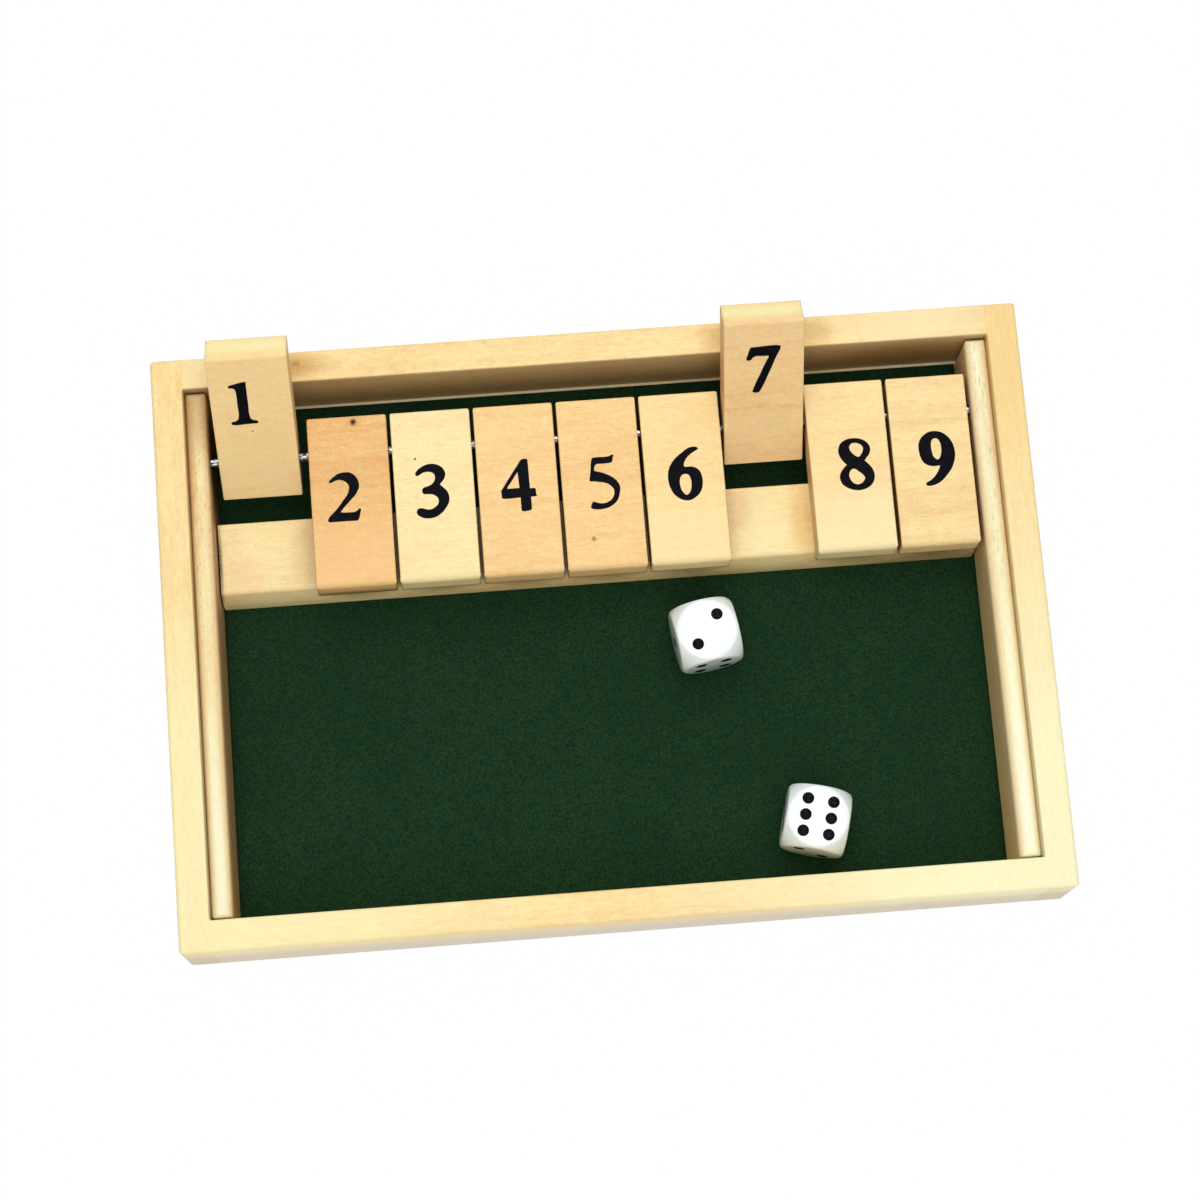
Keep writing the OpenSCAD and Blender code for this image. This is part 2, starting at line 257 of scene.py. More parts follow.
def wood(name, pale, deep, turn=(0, 0, 0), shift=(0, 0, 0), heart=(0, -40), ring=3.2,
         figure=0.5, streaks=0.5, flecks=0.5, marks=(), washes=(), joint_dirt_and_shade=(), gloss=0.42,
         ends=0.30):
    """Solid wood with its grain along the X axis that turn, in degrees, leads it to.

    shift moves the pattern, heart is the middle of the trunk across the grain and ring
    the spacing of the year rings, all in mm. figure, streaks and flecks say how strongly
    the rings, the streaks and the dark flecks show, gloss is the roughness and ends the
    darkness of end grain, which on tiles in narrow gaps is set higher as painted shade.
    marks are (x, y, z, radius, depth) of knots and specks, washes (middle, reach along X,
    Y and Z, depth, colour) of wide soft patches, many of them painted light and shade,
    and grime (axis, clean, dirty, depth) of the dark lines where pieces meet, partly
    dirt in the joints and partly painted shade in grooves and on faces in shade."""
    made, start = new_material(name)
    raw = in_mm(start)
    place = in_mm(start, shift, turn)

    def cloud(along, across, detail, rough=0.5, distortion=0.0, move=0.0):
        where = start.vector("MULTIPLY", place, (along, across, across))
        if move:
            where = start.vector("ADD", where, (move, move, move))
        return clouds(start, where, 1.0, detail, rough, distortion)

    # Year rings round the heart of the trunk, drawn out along the grain
    across = start.vector("MULTIPLY", start.vector("SUBTRACT", place, (0,) + tuple(heart)),
                          (0, 1, 1))
    wander = cloud(0.014, 0.05, 2, 0.5)
    from_heart = start.vector("LENGTH", across, output=1) / ring + wander * 5.0
    year = from_heart.maths("FRACT", from_heart)
    late = year.eased(0.45, 0.93) * (1 - year.eased(0.94, 1.0))
    late = late * cloud(0.02, 0.08, 1, 0.5, move=31).eased(0.35, 0.7)

    # Broad streaks, fine fibres, short dark flecks and blotches
    streak = cloud(0.014, 0.42, 5, 0.66, 0.3, move=7).eased(0.36, 0.66)
    fibre = cloud(0.16, 2.6, 3, 0.65, move=13)
    grit = cloud(1.1, 2.4, 2, 0.6, move=23)
    blotch = cloud(0.30, 0.75, 3, 0.6, move=3)
    fleck = cloud(0.45, 3.4, 2, 0.55, move=19).eased(0.61, 0.72)
    cloudy = cloud(0.05, 0.10, 3, 0.5, move=43)
    tint = cloud(0.45, 0.80, 3, 0.65, move=57)

    amount = streak * (0.45 * streaks) + late * (0.5 * figure) + fibre * 0.8 - 0.28
    tone = start.mixed(amount + (cloudy - 0.5) * 0.8 + (blotch - 0.5) * 0.9
                       + (grit - 0.5) * 0.9, pale, deep)
    tone = start.mixed(tint.eased(0.48, 0.72) * 0.30, tone, PEACH)
    tone = start.mixed((1 - tint).eased(0.48, 0.72) * 0.35, tone, STRAW)
    tone = start.mixed(fleck * (0.26 * flecks), tone, FLECK_BROWN)

    # Wide soft patches, many of them painted light and shade, the warm and golden
    # glints of the cut fibres, and knots
    for middle, reach, depth, colour in washes:
        away = start.vector("DIVIDE", start.vector("SUBTRACT", raw, middle), reach)
        spot = 1 - start.vector("LENGTH", away, output=1).eased(0.2, 1.0)
        tone = start.mixed(spot * depth * (0.6 + grit * 0.8), tone, colour)
    glint = cloud(0.55, 0.95, 3, 0.65, move=71)
    for side, colour in ((glint, ROSY_GLINT), (1 - glint, GOLDEN_GLINT)):
        tone = start.mixed(side.eased(0.48, 0.70) * 0.6, tone, colour, "MULTIPLY")
    for x, y, z, radius, depth in marks:
        reach = start.vector("DISTANCE", raw, (x, y, z), output=1)
        edge = cloud(0.9, 1.6, 2, 0.6, move=x % 17)
        spot = 1 - (reach + (edge - 0.5) * radius).eased(radius * 0.4, radius * 1.2)
        tone = start.mixed(spot * depth, tone, KNOT_BROWN)

    # The cut ends of the fibres drink more lacquer and look darker
    facing = start.node("ShaderNodeTexCoord", output=NORMAL).part(1 if turn[2] else 0)
    end_grain = facing.size().eased(0.80, 0.98)
    tone = start.mixed(end_grain * ends, tone, start.mixed(0.75, deep, END_BROWN))

    # Dark lines where pieces meet, partly dirt in the joints and partly painted shade in
    # grooves and on faces in shade; the lines along the sides stop at the ends of the well
    for axis, line_start, line_full, depth in joint_dirt_and_shade:
        out = raw.part(axis).size()
        line = (out.eased(line_start, line_full) if line_start < line_full
                else 1 - out.eased(line_full, line_start)) * (0.7 + fibre * 0.5)
        if axis == 0:
            line = line * (1 - raw.part(1).size().eased(WELL_END - 0.3, WELL_END))
        tone = start.mixed(line * depth, tone, JOINT_DIRT_AND_SHADE_BROWN)

    height = fibre * 0.5 + streak * 0.2 - fleck * 0.6 - late * 0.15
    shine = gloss + fibre * 0.10 + fleck * 0.10 + end_grain * 0.12
    surface(start, {
        "Base Color": tone, "Roughness": shine, "Normal": bump(start, 0.8, 0.045, height),
        "Specular IOR Level": 0.2, "Coat Weight": 0.10, "Coat Roughness": 0.25})
    return made


def dress(node, made):
    """Gives a CAD node its finish."""
    mesh = frame["nodes"][node].data
    mesh.materials.clear()
    mesh.materials.append(made)
    for face in mesh.polygons:
        face.material_index = 0


# Painted light: the tops are paler towards the front corners, most of all on the right.
# Painted shade: the front face of the tray is greyer, and the browner patches beside the
# raised tiles are their painted shadows.
PAINTED_FRONT_LIGHT = (((112, -76, 24), (120, 120, 13), 0.80, srgb(255, 254, 210)),
            ((-112, -66, 24), (110, 110, 13), 0.55, srgb(255, 254, 202)))
PAINTED_FRONT_SHADE = ((0, -75.5, 6), (300, 3, 18), 0.80, srgb(220, 212, 200))
PAINTED_TILE_SHADOW = srgb(206, 158, 92)
RAIL_PALE, RAIL_DEEP = srgb(255, 230, 169), srgb(240, 193, 123)
# node: turn, shift and heart of the grain, the dark lines along the inside, partly dirt in the
# joint and partly painted shade in the groove and on the back rail's inside face, and the washes
rails = {
    "left_rail": ((0, 0, -90), (310, 40, 9), (130, -52),
                  ((0, INNER_X + 0.5, INNER_X + 0.1, 0.6),), (PAINTED_FRONT_SHADE,)),
    "right_rail": ((0, 0, -90), (-470, 15, 31), (60, -70),
                   ((0, INNER_X + 0.5, INNER_X + 0.1, 0.35),),
                   (PAINTED_FRONT_SHADE, ((105, 62, 24), (14, 44, 12), 0.5, srgb(250, 212, 140)))),
    "front_rail": ((0, 0, 0), (120, 66, 12), (20, -60), (), (PAINTED_FRONT_SHADE,)),
    "back_rail": ((0, 0, 0), (-233, -15, 48), (70, -34),
                  ((1, WELL_END + 0.35, WELL_END + 0.05, 0.45),),
                  # On the back rail: pale patches on its top at both ends, painted shade on the
                  # right of its inside face, painted shadows beside the raised tiles 1 and 7,
                  # and a brown smudge by tile 1
                  (((84, 71, 24), (30, 14, 7), 0.60, srgb(255, 238, 190)),
                   ((84, 66.8, 12), (34, 1.6, 16), 0.70, srgb(202, 152, 88)),
                   ((-104, 71, 24), (24, 14, 12), 0.50, srgb(255, 236, 186)),
                   ((-76, 71, 24), (17, 4.8, 8), 0.80, PAINTED_TILE_SHADOW),
                   ((36, 71, 24), (9, 4.8, 8), 0.50, PAINTED_TILE_SHADOW),
                   ((57, 71, 24), (9, 4.8, 8), 0.50, PAINTED_TILE_SHADOW),
                   ((-73.3, 71.7, 25), (1.7, 1.3, 3), 0.7, srgb(190, 138, 56)))),
}
for node, (turn, shift, heart, joint_dirt_and_shade, washes) in rails.items():
    dress(node, wood("wood_" + node, RAIL_PALE, RAIL_DEEP, turn, shift, heart, ring=4.5,
                     figure=0.30, streaks=0.50, flecks=0.35, joint_dirt_and_shade=joint_dirt_and_shade,
                     washes=PAINTED_FRONT_LIGHT + washes, ends=0.08))


# Base board.
# A thin board of the same wood, glued up into the rebate under the rails. Only its
# underside and a bare sliver behind the felt ever show.
dress("base_board", wood("wood_base", srgb(255, 246, 212), srgb(244, 222, 178),
                         (0, 0, 0), (77, 210, 5), (0, -90), ring=6.0, figure=0.7,
                         streaks=0.8, flecks=0.6, gloss=0.6))


# Felt.
# Thin green wool felt, cut to the floor of the tray and glued to the board. It runs
# under the rest bar and stops just short of the back rail. Pressed wool has no weave:
# short fibres lie every way, and the surface is never quite level.
FELT_STEP = 1.0 * MM
FELT_NAP = 0.10 * MM       # depth of the fine hollows
FELT_RIM = 0.18 * MM       # how far the cut edge is pressed down
felt_low, felt_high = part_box("felt_lining")
felt_size = felt_high - felt_low
columns = round(felt_size.x / FELT_STEP)
rows = round(felt_size.y / FELT_STEP)


def felt_mesh():
    """The sheet: an uneven top, the cut edges and a flat underside."""
    points, faces = [], []
    for j in range(rows + 1):
        for i in range(columns + 1):
            x = felt_low.x + felt_size.x * i / columns
            y = felt_low.y + felt_size.y * j / rows
            rim = i in (0, columns) or j in (0, rows)
            nap = noise.fractal(Vector((x, y, 0.3)) * 420, 0.7, 2.1, 4) * 0.5 + 0.5
            slow = noise.noise(Vector((x, y, 1.7)) * 45) * 0.5 + 0.5
            sink = FELT_NAP * (0.7 * min(max(nap, 0), 1) + 0.3 * slow)
            points.append((x, y, felt_high.z - sink - (FELT_RIM if rim else 0)))
    wide = columns + 1
    for j in range(rows):
        for i in range(columns):
            a = j * wide + i
            faces.append((a, a + 1, a + wide + 1, a + wide))
    rim = (list(range(columns)) + [j * wide + columns for j in range(rows)]
           + [rows * wide + i for i in range(columns, 0, -1)]
           + [j * wide for j in range(rows, 0, -1)])
    under = len(points)
    for a in rim:
        points.append((points[a][0], points[a][1], felt_low.z))
    count = len(rim)
    for k in range(count):
        after = (k + 1) % count
        faces.append((rim[k], under + k, under + after, rim[after]))
    faces.append(tuple(range(under + count - 1, under - 1, -1)))
    made = bpy.data.meshes.new("felt_sheet")
    made.from_pydata(points, [], faces)
    made.update()
    for face in made.polygons:
        face.use_smooth = face.index < rows * columns
    return made


felt = bpy.data.objects.new("felt_sheet", felt_mesh())
scene.collection.objects.link(felt)
made, start = new_material("green_felt")
place = in_mm(start)
clump = clouds(start, place, 1.5, 5, 0.7, 0.4)
fibre = clouds(start, place, 4.2, 3, 0.7, 1.2)
hue = clouds(start, place, 0.30, 4, 0.65)
slow = clouds(start, place, 0.035, 2, 0.5)
tone = start.mixed(clump.eased(0.36, 0.64), srgb(13, 37, 20), srgb(36, 64, 38))
tone = start.mixed(hue.eased(0.48, 0.70) * 0.5, tone, srgb(15, 53, 42))
tone = start.mixed((1 - hue).eased(0.48, 0.70) * 0.5, tone, srgb(33, 57, 24))
tone = start.mixed(fibre.eased(0.50, 0.72) * 0.55, tone, srgb(54, 88, 60))
tone = start.mixed(slow.eased(0.35, 0.65) * 0.25, tone, srgb(16, 48, 30))
surface(start, {
    "Base Color": tone, "Roughness": 0.95,
    "Normal": bump(start, 1.0, 0.16, clump * 0.6 + fibre * 0.5),
    "Specular IOR Level": 0.06, "Sheen Weight": 0.10, "Sheen Roughness": 0.5,
    "Sheen Tint": srgb(120, 170, 120)})
felt.data.materials.append(made)
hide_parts("felt_lining")
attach(felt, "tray")


# Side strips.
# Two strips, rounded over on top, glued inside the side rails. Each is drilled near
# its back end for the steel rod.
# Washes in order: painted shade on the inner face, the warm shoulders, painted light on
# the front of the top, and on the left the painted shadow of tile 1 and painted shade at
# the back end. The dark lines are painted shade on the inner face and, partly dirt and
# partly painted shade, the groove against the rail.
strip_x = -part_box("left_strip")[1].x / MM
for node, pale, deep, shift, heart, joint_dirt_and_shade, washes in (
    ("left_strip", srgb(255, 242, 189), srgb(232, 188, 126), (95, -30, 17), (24, -30),
     ((0, INNER_X - 0.9, INNER_X - 0.2, 0.25), (0, strip_x + 0.6, strip_x + 0.1, 0.5)),
     (((-strip_x, -20, 6), (0.9, 300, 20), 0.8, srgb(200, 172, 104)),
      ((-strip_x, 0, 20), (2.6, 300, 30), 0.45, srgb(232, 178, 122)),
      ((-INNER_X, 0, 20), (2.2, 300, 30), 0.45, srgb(240, 186, 132)),
      ((-99.3, -62, 23.5), (2.4, 60, 6), 0.6, srgb(255, 252, 226)),
      ((-strip_x, 50, 10), (1.2, 28, 17), 0.9, srgb(20, 12, 6)),
      ((-99, 64, 23), (6, 20, 8), 0.5, srgb(190, 148, 90)))),
    ("right_strip", srgb(255, 255, 218), srgb(240, 215, 164), (-160, 22, 3), (-20, -44),
     ((0, strip_x + 0.6, strip_x + 0.1, 0.15),),
     (((strip_x, -20, 6), (0.9, 300, 20), 0.8, srgb(238, 212, 138)),
      ((strip_x, 0, 20), (2.6, 300, 30), 0.45, srgb(248, 202, 146)),
      ((INNER_X, 0, 20), (2.2, 300, 30), 0.40, srgb(248, 206, 150)),
      ((99.3, -62, 23.5), (2.4, 60, 6), 0.6, srgb(255, 253, 232)))),
):
    dress(node, wood("wood_" + node, pale, deep, (0, 0, -90), shift, heart, ring=2.6,
                     figure=0.5, streaks=0.9, flecks=1.6, joint_dirt_and_shade=joint_dirt_and_shade,
                     washes=PAINTED_FRONT_LIGHT + washes))


# Rest bar.
# A planed bar glued on the felt, its front top edge rounded over. The free ends of the
# tiles lie on it. Besides pinkish and brown patches it carries painted light and shade,
# among them painted shade at its left end, under the gaps between tiles and under their toes.
lying = [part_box(f"tile_{number}") for number in (2, 3, 4, 5, 6, 8, 9)]
BAR_TOP = lying[0][0].z / MM       # the tiles lie on it
TILE_TOP = lying[0][1].z / MM
BAR_FRONT = 14.2
gaps = [(left[1].x + right[0].x) / 2 / MM for left, right in zip(lying, lying[1:])
        if right[0].x - left[1].x < 2 * MM]
gap_shade = tuple(((x, 25, BAR_TOP), (0.8, 30, 3.6), 0.75, srgb(60, 38, 16))
                  for x in gaps)
toe_shade = tuple((((low.x + high.x) / 2 / MM, BAR_FRONT, 11.5), (14, 4, 6.5), 0.55,
                   srgb(88, 62, 26)) for low, high in lying)
dress("rest_bar", wood("wood_rest_bar", srgb(255, 234, 175), srgb(239, 198, 133),
                       (0, 0, 0), (41, 8, -22), (8, -46), ring=3.6, figure=0.3,
                       streaks=0.35, flecks=0.6, gloss=0.34, washes=(
                           # Painted shadow beside tile 2, then a pinkish patch
                           ((-74.5, 26, BAR_TOP), (5, 16, 3), 0.40, srgb(226, 182, 128)),
                           ((-90, 20, BAR_TOP), (6, 8, 3), 0.35, srgb(252, 206, 160)),
                           # Painted highlight where tile 7 is raised, a brown band beside tile
                           # 8, and a pinkish-brown patch by tile 6
                           ((43, 23, BAR_TOP), (9, 12, 3), 0.50, srgb(255, 247, 190)),
                           ((52, 25, BAR_TOP), (4.5, 14, 3), 0.40, srgb(222, 170, 92)),
                           ((35, 29, BAR_TOP), (6, 8, 3), 0.35, srgb(232, 186, 150)),
                           # Painted shade along the front, painted light on it below the raised
                           # tiles 1 and 7, and painted shade by the left strip and at the right
                           # end
                           ((10, 14, 6), (110, 3.5, 12), 0.35, srgb(200, 160, 86)),
                           ((-85, 14, 9), (9, 4, 6), 0.60, srgb(255, 238, 186)),
                           ((44, 14, 9), (9, 4, 6), 0.50, srgb(255, 238, 186)),
                           ((-96.0, 24, 12), (1.0, 16, 5), 0.85, srgb(44, 20, 6)),
                           ((88, 14, 5), (36, 3.5, 14), 0.60, srgb(104, 80, 40)))
                       + gap_shade + toe_shade))


# Rod.
# Bright drawn steel, 3 mm thick, pushed through both strips and all nine tiles. It
# shows only in the gaps between the tiles.
made, start = new_material("bright_steel")
DRAWN_GRAIN = (0.9, 2.6, 2.6)      # noise per mm along and across the rod
place = in_mm(start)
drawn = clouds(start, start.vector("MULTIPLY", place, DRAWN_GRAIN), 1.0, 3, 0.6)
rod_low, rod_high = (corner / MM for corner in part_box("axle_rod"))

# From 0 along the middle of the rod, as seen from above, to 1 at its sides
side = (place.part(1) - (rod_low.y + rod_high.y) / 2).size() / (rod_high.y - rod_low.y) * 2
tone = start.mixed(drawn.eased(0.44, 0.62), srgb(52, 48, 52), srgb(214, 214, 222))
# Painted reflection: the sides of the rod are painted dark, which leaves a painted highlight
# along its top
tone = start.mixed(side.eased(0.10, 0.75) * 0.85, tone, srgb(42, 38, 38))
surface(start, {
    "Base Color": tone, "Metallic": 1.0, "Roughness": 0.12 + drawn * 0.10,
    "Normal": bump(start, 0.5, 0.01, drawn)})
dress("axle_rod", made)


# Tiles.
# Nine tiles sawn across a planed strip, so their grain runs from side to side, with
# the free end rounded over. They come from several boards and differ in colour. Each
# is drilled near its back end and turns on the rod.
swing = {row["child"]: row for row in frame["joints"] if row["child"].startswith("tile")}


def lift_of(number):
    """How far a tile has turned up from lying flat, in degrees, as the game is shown."""
    return -swing[f"tile_{number}"]["range_deg"][0]


# number: pale and deep tone, shift of the grain, heart of the trunk, ring spacing,
# figure, streaks
TILE_WOOD = {
    1: (srgb(255, 226, 166), srgb(255, 200, 136), (40, 5, 2), (10, -38), 2.4, 0.25, 0.35),
    2: (srgb(244, 196, 129), srgb(223, 160, 94), (-120, 90, 31), (60, -44), 5.0, 0.60, 0.5),
    3: (srgb(255, 238, 180), srgb(248, 210, 144), (310, -44, 8), (25, -70), 4.0, 0.30, 0.4),
    4: (srgb(254, 216, 153), srgb(238, 184, 117), (77, 150, -20), (35, -36), 3.4, 0.45, 0.5),
    5: (srgb(253, 214, 150), srgb(234, 176, 111), (-260, 33, 54), (-30, -50), 4.2, 0.45, 0.4),
    6: (srgb(255, 227, 165), srgb(246, 201, 132), (190, -80, 61), (44, -33), 3.8, 0.35, 0.4),
    7: (srgb(254, 218, 161), srgb(239, 181, 121), (-35, 61, 12), (28, -26), 1.9, 0.40, 0.35),
    8: (srgb(255, 228, 169), srgb(246, 202, 136), (420, 12, -33), (0, -64), 4.4, 0.30, 0.4),
    9: (srgb(255, 228, 169), srgb(239, 195, 129), (-90, -25, 83), (12, -24), 4.6, 0.70, 0.5),
}
# number: knots and specks as x, y, z in the tray, radius and depth, in mm
TILE_MARKS = {
    1: ((-84.7, 53.2, 31.0, 0.32, 0.60),),
    2: ((-59.95, 56.1, TILE_TOP, 0.92, 1.0),),
    3: ((-45.0, 45.35, TILE_TOP, 0.38, 0.9),),
    5: ((-1.7, 21.4, TILE_TOP, 0.75, 0.60),),
}
# number: wide soft patches, as for the rails; the raised ends of tiles 1 and 7
# carry painted light
TILE_WASHES = {
    1: (((-84.15, 71.6, 47.4), (60, 5, 5), 0.8, srgb(255, 247, 184)),),
    2: (((-61.6, 12, TILE_TOP), (40, 32, 12), 0.5, srgb(255, 212, 148)),
        ((-59.95, 56.1, TILE_TOP), (2.4, 2.0, 2), 0.35, srgb(200, 140, 70))),
    6: (((22.4, 12, TILE_TOP), (40, 28, 12), 0.5, srgb(255, 236, 180)),),
    7: (((43.35, 71.6, 47.4), (60, 5, 5), 0.8, srgb(255, 247, 184)),),
    8: (((64.4, 12, TILE_TOP), (40, 28, 12), 0.6, srgb(255, 242, 190)),),
}
# The painted shade under a lying tile's rounded toe reaches this high, in mm; most on tile 2
TOE_DARK, TOE_DARK_TWO = 3.2, 5.5
for number, (pale, deep, shift, heart, ring, figure, streaks) in TILE_WOOD.items():
    tilt = lift_of(number)
    low, high = (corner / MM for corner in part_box(f"tile_{number}"))
    toe = (((low.x + high.x) / 2, low.y, 13.4),
           (60, 1.6, TOE_DARK_TWO if number == 2 else TOE_DARK), 0.85, srgb(64, 38, 10))
    # Painted shade: the lying tiles but 8, whose sides stand in narrow gaps, get darker end
    # grain
    dress(f"tile_{number}", wood(
        f"wood_tile_{number}", pale, deep, (tilt, 0, 0), shift, heart, ring, figure,
        streaks, flecks=0.45, marks=TILE_MARKS.get(number, ()), gloss=0.38,
        washes=TILE_WASHES.get(number, ()) + (() if tilt else (toe,)),
        ends=0.4 if tilt or number == 8 else 1.0))


# Numerals.
# Old-style numerals in thick black ink, printed on both faces of each tile, upright
# to the player when the tile lies and when it stands. Each outline is in mm from the
# middle of the tile's width and from the numeral's foot; ! marks a sharp corner.
NUMERALS = {
    1: ["-.75,12.9! -.75,6 -.72,2.4 -.42,1.45 .35,1.02 1.05,.8 1.2,.4 1.05,.05! "
        "-1,0 -5.2,0 -5.5,.35 -5.3,.8 -4.5,1 -3.8,1.45 -3.5,2.3 -3.42,6 -3.45,9.8 "
        "-3.6,10.6 -4,11.05 -4.9,11.2 -5.2,11.5 -5,11.88 -4,12.2 -2.5,12.6"],
    2: ["-5.2,10.65 -4,11.7 -3,12.37 -2,12.62 -1,12.68 0,12.55 .9,12 1.6,11.2 "
        "2.08,10.2 2.22,9.2 2.1,8.4 1.7,7.55 1.05,6.55 0,5.5 -1,4.45 -2,3.45 "
        "-2.85,2.4! -2,2.28 0,2.24 .75,2.3 1.5,2.7 2.05,3.1 2.3,2.95 2.15,2.1 "
        "1.9,1.1 1.6,.3 1.25,-.05! 0,0 -5,0 -5.7,.03 -6.1,.4 -5.95,.95 -5,2.05 "
        "-4,2.98 -3,4.12 -2,5.45 -1,6.7 -.52,7.8 -.35,8.65 -.5,9.4 -1,10.05 "
        "-1.65,10.52 -2.35,10.75 -3,10.78 -4,10.52 -4.6,10.25 -5,10.2 -5.3,10.4"],
    3: ["-4.45,12.05 -3.85,12.75 -3,13.35 -2,13.82 -1,14.04 0,14.04 1,13.76 2,13.17 "
        "2.67,12.3 2.97,11.3 2.83,10.5 2.33,9.58 1.75,8.95 1.45,8.6! 2,8 2.7,7.3 "
        "3.25,6.45 3.58,5.3 3.55,4.3 3.17,3.3 2.65,2.5 2,1.68 1,.83 0,.27 -1,.02 "
        "-2,-.02 -3,.13 -4,.58 -4.6,1.1 -4.8,1.67 -4.68,2.25 -4.25,2.65 -3.6,2.75 "
        "-3,2.6 -2,2.28 -1.15,2.3 -.15,2.75 .58,3.42 .87,4.25 .75,5 .33,5.58 "
        "-.33,6 -1,6.2 -2,6.28 -2.7,6.35 -3.05,6.75 -3.12,7.2 -2.9,7.8 -2.5,8.08 "
        "-1.5,8.33 -.65,8.75 -.05,9.35 .3,10.15 .3,10.85 -.08,11.58 -.83,11.95 "
        "-1.67,12.05 -2.5,11.9 -3.33,11.5 -3.95,11.15 -4.4,11.25 -4.58,11.65"],
    4: ["1.35,13.25! 2.55,13.25 2.85,12.95! 2.9,9 2.95,5.55! 4.15,5.5 4.38,5.25! "
        "4.42,4 4.58,3.45! 3.03,3.35! 3,.2 2.8,-.1! .6,-.18 .42,.1! .42,3.35! "
        "-4,3.35 -4.25,3.6! -4.35,5.35! -2.7,7.75 1,12.95!",
        ".1,9.95! .3,5.85! -2.6,5.8! -2.75,6.05! -.15,9.65!"],
    5: ["-1.87,13.45! -.8,13.55 1.8,13.52 2.6,13.68 3.25,14 3.58,13.85! 3.3,13.1 "
        "3.15,12.3 2.95,11.95! 2.1,11.82 0,11.78 -1,11.7 -1.3,11.4 -1.6,10.3 "
        "-1.53,10.05! -1,9.85 0,9.57 1,9.18 2,8.65 3,7.98 3.83,7.15 4.35,6.3 "
        "4.62,5.2 4.45,4.15 4.08,2.85 3.5,1.82 2.67,1.07 1.67,.48 .5,.12 -1,0 "
        "-2,.08 -2.85,.3 -3.13,.65 -3,1.2 -2.67,1.85 -2.4,2.1! -1.9,1.93 -1,1.62 "
        ".33,1.5 1.33,1.82 2.17,2.32 2.75,3.15 3,4 2.97,4.85 2.5,5.65 1.67,6.4 "
        ".67,6.82 -.5,7.07 -2,7.32 -2.75,7.37 -3,7.6! -2.9,8.2 -2.5,10.5 -2.1,13"],
    6: ["3.92,13.45 3.6,13.75 2.5,13.87 1.67,13.7 .83,13.3 0,12.7 -1,12 -2,11.17 "
        "-3,10 -3.75,8.67 -4.13,7.17 -4.2,5.83 -4.05,4.5 -3.67,3.17 -3,1.92 "
        "-2,.92 -.83,.25 .33,.03 1.5,.25 2.5,.83 3.5,1.75 4.17,3 4.45,4.5 "
        "4.42,5.83 4.08,7.17 3.5,8 2.5,8.58 1.5,8.8 .5,8.75 .08,8.95! .05,9.4 "
        ".35,10.25 1,11.17 1.83,11.92 2.83,12.58 3.7,13.03 3.95,13.2",
        ".33,6.92 1,6.67 1.42,5.83 1.58,4.67 1.53,3.67 1.25,2.58 .67,1.75 "
        ".08,1.5 -.42,1.92 -1,2.83 -1.25,3.83 -1.33,4.83 -1.17,5.83 -.67,6.67"],
    7: ["-3.33,13.92! 3.8,14.05 4.2,13.7! 4.05,13 3,10.55 2,7.75 1,5.15 0,2.55 "
        "-1,.4 -1.25,.1! -1.8,0 -2.65,.15 -2.92,.5! -2,3.15 -1,5.55 0,8.15 "
        ".67,9.75 1.15,10.85 1.05,11.1! -.5,11.1 -2.1,11.15 -2.6,10.93 -3,10.5 "
        "-3.35,10.08 -3.85,9.95 -4.3,10.15 -4.42,10.6 -4.05,11.8 -3.65,13.3"],
    8: ["1.5,13.65 2.67,13.5 3.83,13.05 4.83,12.2 5.37,11.2 5.42,10.3 5,9.2 "
        "4.33,8.4 3.75,7.65! 4.33,7.05 5.08,6.15 5.7,5 5.92,3.83 5.7,2.5 5,1.33 "
        "3.83,.5 2.4,.08 1,.08 -.33,.42 -1.67,1.17 -2.58,2.17 -2.92,3.5 "
        "-2.75,4.5 -2.17,5.5 -1.5,6.25 -.85,6.85! -1.5,7.5 -2.17,8.5 -2.58,9.5 "
        "-2.72,10.5 -2.5,11.5 -2,12.42 -1,13.17 .2,13.58",
        "1.5,12.42 2.35,12.25 3.25,11.67 3.62,10.92 3.42,10 2.92,9.25 2.33,8.72 "
        "1.85,8.83 1.17,9.33 .5,10.17 .17,11 .25,11.67 .83,12.25",
        ".85,5.7 1.25,5.55 2,4.92 3,4 3.42,3.17 3.08,2.42 2.42,1.83 1.58,1.58 "
        ".83,1.75 .17,2.25 -.33,3.17 -.5,4.17 -.25,4.92 .2,5.5"],
    9: [".83,14.15 2,14 3,13.6 4,12.87 5,11.52 5.58,10.1 5.8,8.45 5.68,7.1 "
        "5.33,5.77 4.67,4.3 3.67,3 2.67,1.88 1.67,1 .5,.35 -.67,.02 -1.67,-.04 "
        "-2.25,.27 -2.3,.68 -1.8,1.03 -1,1.45 0,2.3 .75,3.2 1.33,4.2 1.58,4.78 "
        "1.55,5.1! .67,5.02 -.5,5.07 -1.67,5.52 -2.5,6.27 -3.03,7.43 -3.28,8.77 "
        "-3.33,10.1 -3.03,11.6 -2.33,12.68 -1.33,13.52 -.33,13.97",
        ".83,12.2 1.6,12.1 2.17,11.27 2.38,10.1 2.37,8.93 2.17,7.93 1.75,7.02 "
        "1.25,6.68 .67,7.02 .17,7.77 -.05,8.93 -.13,10.1 -.03,11.1 .33,11.9"],
}
# Distance of the numeral's foot from the rod on the lying face, and on the underside
FOOT_TOP = {1: 19.1, 2: 18.6, 3: 19.35, 4: 19.0, 5: 20.15, 6: 19.5, 7: 19.8, 8: 20.0, 9: 20.1}
FOOT_UNDER = {1: 15.0, 2: 14.6, 3: 14.2, 4: 14.4, 5: 14.0, 6: 14.2, 7: 13.75, 8: 14.1, 9: 14.0}
INK_PROUD, INK_SUNK = 0.03, 0.03
low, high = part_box("tile_2")
thick = (high.z - low.z) / MM

